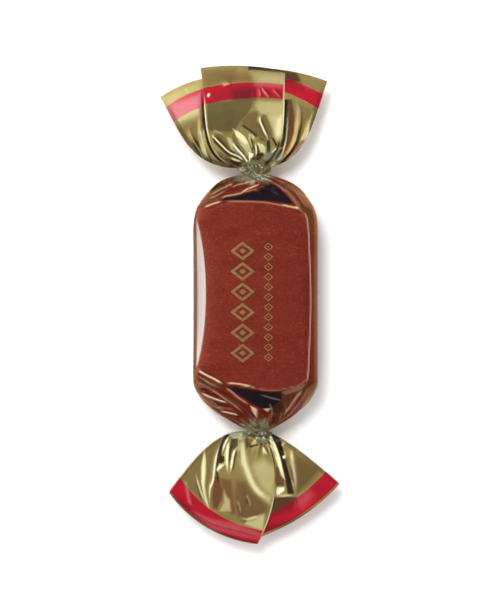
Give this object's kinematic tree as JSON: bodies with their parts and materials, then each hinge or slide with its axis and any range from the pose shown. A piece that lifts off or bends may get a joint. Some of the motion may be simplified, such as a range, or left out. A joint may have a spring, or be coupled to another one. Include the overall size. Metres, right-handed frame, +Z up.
{
  "type": "twist-wrapped chocolate toffee",
  "caption": "Oblong sweet in metallised film, twisted shut at both ends, with a flat pleated fan of film past each twist; lies flat.",
  "frame": {"origin": "middle of the flat face that the sweet lies on, half-way along the wrapped bar", "axes": "+Z up from that face, +Y along the bar towards the head fan, +X to the right as seen from above with the head fan away"},
  "size_m": [0.0291, 0.0768, 0.012],
  "materials": {
    "body_film": "red-brown print on glossy metallised film",
    "gold_film": "bare olive-gold metallised film, glossy and creased",
    "red_stripe": "red print on the gold film, glossy",
    "gold_print": "flat gold print, satin"
  },
  "bodies": {
    "root": {"wrapped_toffee": "body_film"}
  },
  "joints": []
}
